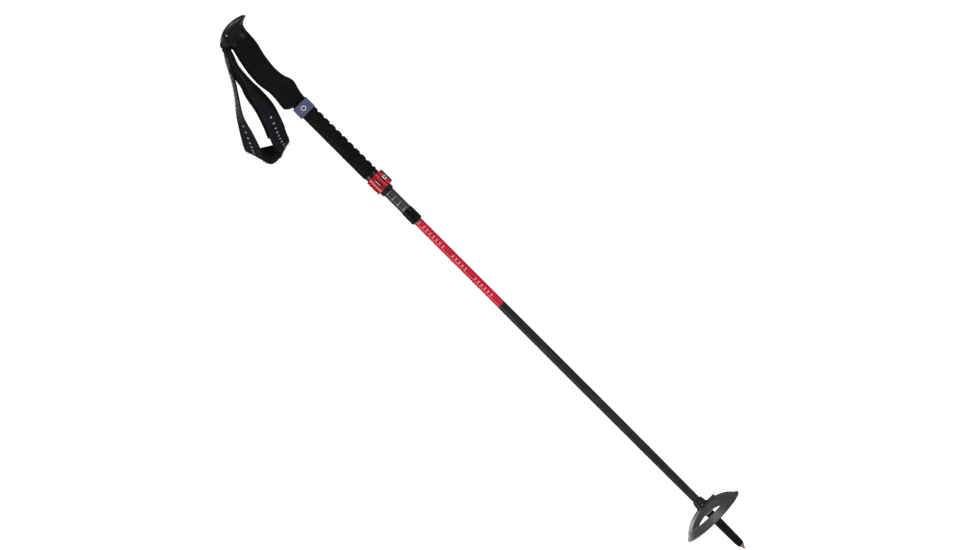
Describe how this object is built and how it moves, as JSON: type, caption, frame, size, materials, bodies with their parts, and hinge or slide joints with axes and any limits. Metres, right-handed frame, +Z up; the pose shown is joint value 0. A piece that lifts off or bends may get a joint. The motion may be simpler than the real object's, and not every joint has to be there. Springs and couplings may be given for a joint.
{
  "type": "ski pole",
  "caption": "Folding, length-adjustable touring ski pole with padded wrist strap, lever clamp, telescoping snap-locked red tube, plug-jointed lower tubes and a dished snow basket.",
  "frame": {"origin": "the point of the tip", "axes": "+Z up the shaft towards the grip, +X the way the beak of the grip points, wrist strap to -X"},
  "size_m": [0.1528, 0.0934, 1.0391],
  "materials": {
    "grip_foam": "fine closed-cell foam, matt",
    "head_plastic": "moulded, satin",
    "cap_plastic": "moulded slate blue, satin",
    "webbing": "woven, with bound edges",
    "band_fabric": "brushed loop fabric, slate blue",
    "stainless": "turned",
    "red_anodised": "anodised, satin",
    "clamp_plastic": "glass-filled nylon",
    "ring_plastic": "moulded, grey",
    "grip_tube": "dark anodised",
    "marked_carbon": "carbon tube, clear coated, with pale printed marks",
    "red_paint": "carbon tube, red paint under clear coat, pale printed marks",
    "dark_carbon": "carbon tube, unidirectional, clear coated",
    "ferrule_alloy": "polished",
    "black_plastic": "moulded",
    "basket_plastic": "moulded, flexible",
    "cord_plastic": "coated cord",
    "spring_steel": "strip",
    "brass_insert": "turned",
    "carbide": "ground carbide"
  },
  "bodies": {
    "handle": {"upper_tube": "grip_tube", "grip_body": "grip_foam", "grip_head": "head_plastic", "head_cap": "cap_plastic", "strap_pin": "stainless", "strap_end": "webbing", "foam_sleeve": "grip_foam", "keeper_band": "band_fabric", "clamp_ring": "ring_plastic", "clamp_body": "clamp_plastic", "catch_pin": "stainless", "lever_pin": "stainless", "barrel_nut": "stainless"},
    "wrist_strap": {"strap_loop": "webbing"},
    "clamp_lever": {"clamp_lever": "red_anodised"},
    "tension_screw": {"clamp_screw": "stainless"},
    "marked_section": {"adjust_tube": "marked_carbon", "end_collar": "black_plastic", "upper_cord_anchor": "black_plastic", "upper_cord_knot": "cord_plastic"},
    "red_section": {"red_tube": "red_paint", "red_tube_plug": "black_plastic", "button_spring": "spring_steel"},
    "snap_button": {"lock_button": "stainless"},
    "middle_section": {"middle_tube": "dark_carbon", "upper_ferrule": "ferrule_alloy", "upper_plug": "black_plastic", "lower_ferrule": "ferrule_alloy", "lower_plug": "black_plastic", "tension_cord": "cord_plastic"},
    "lower_section": {"lower_tube": "dark_carbon", "lower_cord_anchor": "black_plastic", "lower_cord_knot": "cord_plastic", "tip_holder": "black_plastic", "basket_clip": "spring_steel", "tip_insert": "brass_insert", "carbide_point": "carbide"},
    "basket": {"basket": "basket_plastic"}
  },
  "joints": [
    {"name": "strap_swing", "type": "hinge", "parent": "handle", "child": "wrist_strap", "pos_m": [-0.022, 0, 1.0165], "axis": [0, 1, 0], "range_deg": [0, 110]},
    {"name": "lever_swing", "type": "hinge", "parent": "handle", "child": "clamp_lever", "pos_m": [0.0108, -0.0093, 0.7341], "axis": [0, 0, 1], "range_deg": [0, 140]},
    {"name": "tension_screw_turn", "type": "hinge", "parent": "handle", "child": "tension_screw", "pos_m": [0.0108, 0, 0.7341], "axis": [0, 1, 0], "continuous": true},
    {"name": "length_adjust", "type": "slide", "parent": "handle", "child": "marked_section", "axis": [0, 0, -1], "range_m": [-0.032, 0.163]},
    {"name": "red_tube_slide", "type": "slide", "parent": "marked_section", "child": "red_section", "axis": [0, 0, -1], "range_m": [-0.1, 0], "deforming": ["tension_cord", "lock_button"]},
    {"name": "button_press", "type": "slide", "parent": "red_section", "child": "snap_button", "axis": [0, 1, 0], "range_m": [0, 0.0016], "stiffness_N_per_m": 900, "springref_m": -0.002, "deforming": ["button_spring"]},
    {"name": "upper_joint_pull", "type": "slide", "parent": "red_section", "child": "middle_section", "axis": [0, 0, -1], "range_m": [0, 0.055], "stiffness_N_per_m": 60, "springref_m": -0.1},
    {"name": "lower_joint_pull", "type": "slide", "parent": "middle_section", "child": "lower_section", "axis": [0, 0, -1], "range_m": [0, 0.055], "stiffness_N_per_m": 60, "springref_m": -0.1},
    {"name": "basket_turn", "type": "hinge", "parent": "lower_section", "child": "basket", "pos_m": [0, 0, 0.08], "axis": [0, 0, 1], "continuous": true}
  ]
}
